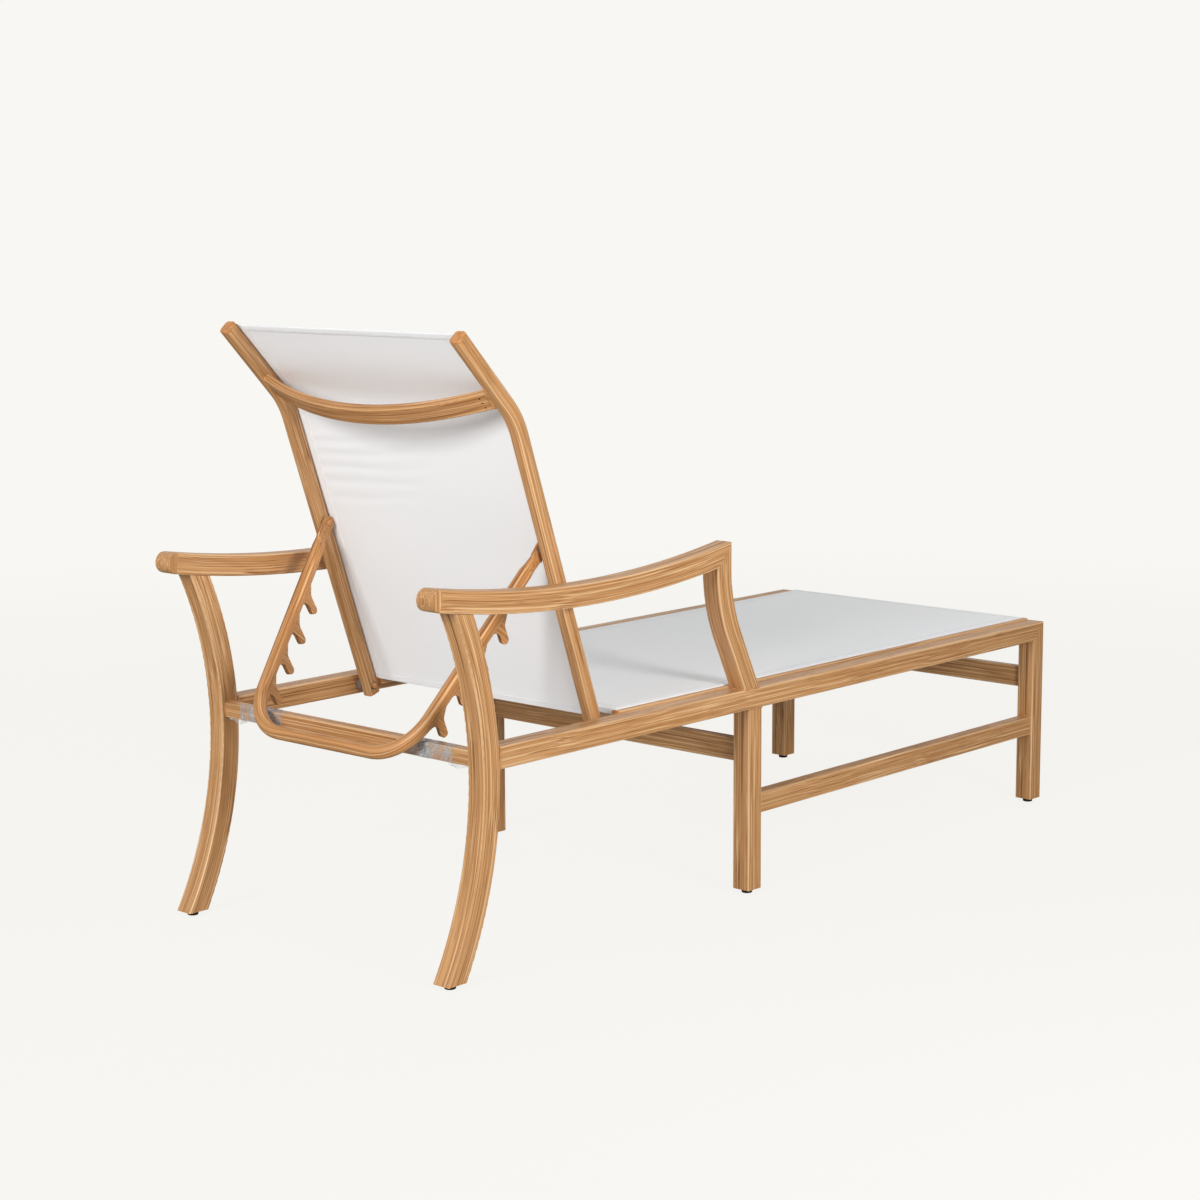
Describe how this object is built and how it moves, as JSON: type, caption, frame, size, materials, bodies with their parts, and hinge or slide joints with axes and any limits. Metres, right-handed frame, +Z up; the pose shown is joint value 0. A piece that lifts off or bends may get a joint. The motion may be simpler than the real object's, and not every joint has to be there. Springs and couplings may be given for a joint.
{
  "type": "sling chaise longue",
  "caption": "Low wood-grain tube chaise longue with a taut white sling seat, curved arms, sabre rear legs and a reclining sling back held by a hooked prop.",
  "frame": {"origin": "floor level below the middle of the chaise's length and width at rest", "axes": "+X towards the foot end, +Y towards the sitter's left, +Z up"},
  "size_m": [1.885, 0.734, 1.1179],
  "materials": {
    "wood_grain_tube": "satin wood-grain coating",
    "wood_grain_extrusion": "satin wood-grain coating",
    "wood_grain_plastic": "satin wood-grain coating",
    "brown_plastic": "satin",
    "white_sling": "fine coated weave",
    "spline_plastic": "plain",
    "black_glide": "matte",
    "grey_plastic": "matte",
    "clear_film": "wrinkled clear film",
    "steel_hardware": "plain",
    "painted_hardware": "brown paint"
  },
  "bodies": {
    "frame": {"side_rail_left": "wood_grain_tube", "side_rail_right": "wood_grain_tube", "front_leg_left": "wood_grain_tube", "front_leg_right": "wood_grain_tube", "mid_leg_left": "wood_grain_tube", "mid_leg_right": "wood_grain_tube", "rear_leg_left": "wood_grain_tube", "rear_leg_right": "wood_grain_tube", "armrest_left": "wood_grain_tube", "armrest_right": "wood_grain_tube", "arm_post_left": "wood_grain_tube", "arm_post_right": "wood_grain_tube", "lower_stretcher_left": "wood_grain_tube", "lower_stretcher_right": "wood_grain_tube", "rear_cross_rail": "wood_grain_tube", "mid_cross_rail": "wood_grain_tube", "front_cross_rail": "wood_grain_tube", "arm_nose_left": "wood_grain_plastic", "arm_nose_right": "wood_grain_plastic", "seat_sling_rail_left": "wood_grain_extrusion", "seat_sling_rail_right": "wood_grain_extrusion", "rail_sleeve_left": "clear_film", "rail_sleeve_right": "clear_film", "foot_glides": "black_glide", "sling_rail_plugs": "brown_plastic", "sling_rail_screws": "steel_hardware", "seat_splines": "spline_plastic", "seat_sling": "white_sling", "hinge_bushes": "grey_plastic", "hinge_inserts": "steel_hardware", "hinge_washers": "steel_hardware", "hinge_bolts": "painted_hardware"},
    "backrest": {"back_rail_left": "wood_grain_extrusion", "back_rail_right": "wood_grain_extrusion", "back_top_caps": "brown_plastic", "back_foot_caps": "brown_plastic", "back_splines": "spline_plastic", "back_sling": "white_sling", "head_crossbar": "wood_grain_tube", "pivot_pins": "painted_hardware", "pivot_washers": "grey_plastic"},
    "prop": {"prop_bail": "wood_grain_tube", "prop_hooks_left": "wood_grain_tube", "prop_hooks_right": "wood_grain_tube"}
  },
  "joints": [
    {"name": "recline", "type": "hinge", "parent": "frame", "child": "backrest", "pos_m": [-0.4745, 0, 0.388], "axis": [0, -1, 0], "range_deg": [0, 65.5]},
    {"name": "prop_swing", "type": "hinge", "parent": "backrest", "child": "prop", "pos_m": [-0.59099, 0, 0.7244], "axis": [0, 1, 0], "range_deg": [0, 105]}
  ],
  "couplings": [
    {"joint": "prop_swing", "follows": "recline", "ratio": 1.6}
  ]
}
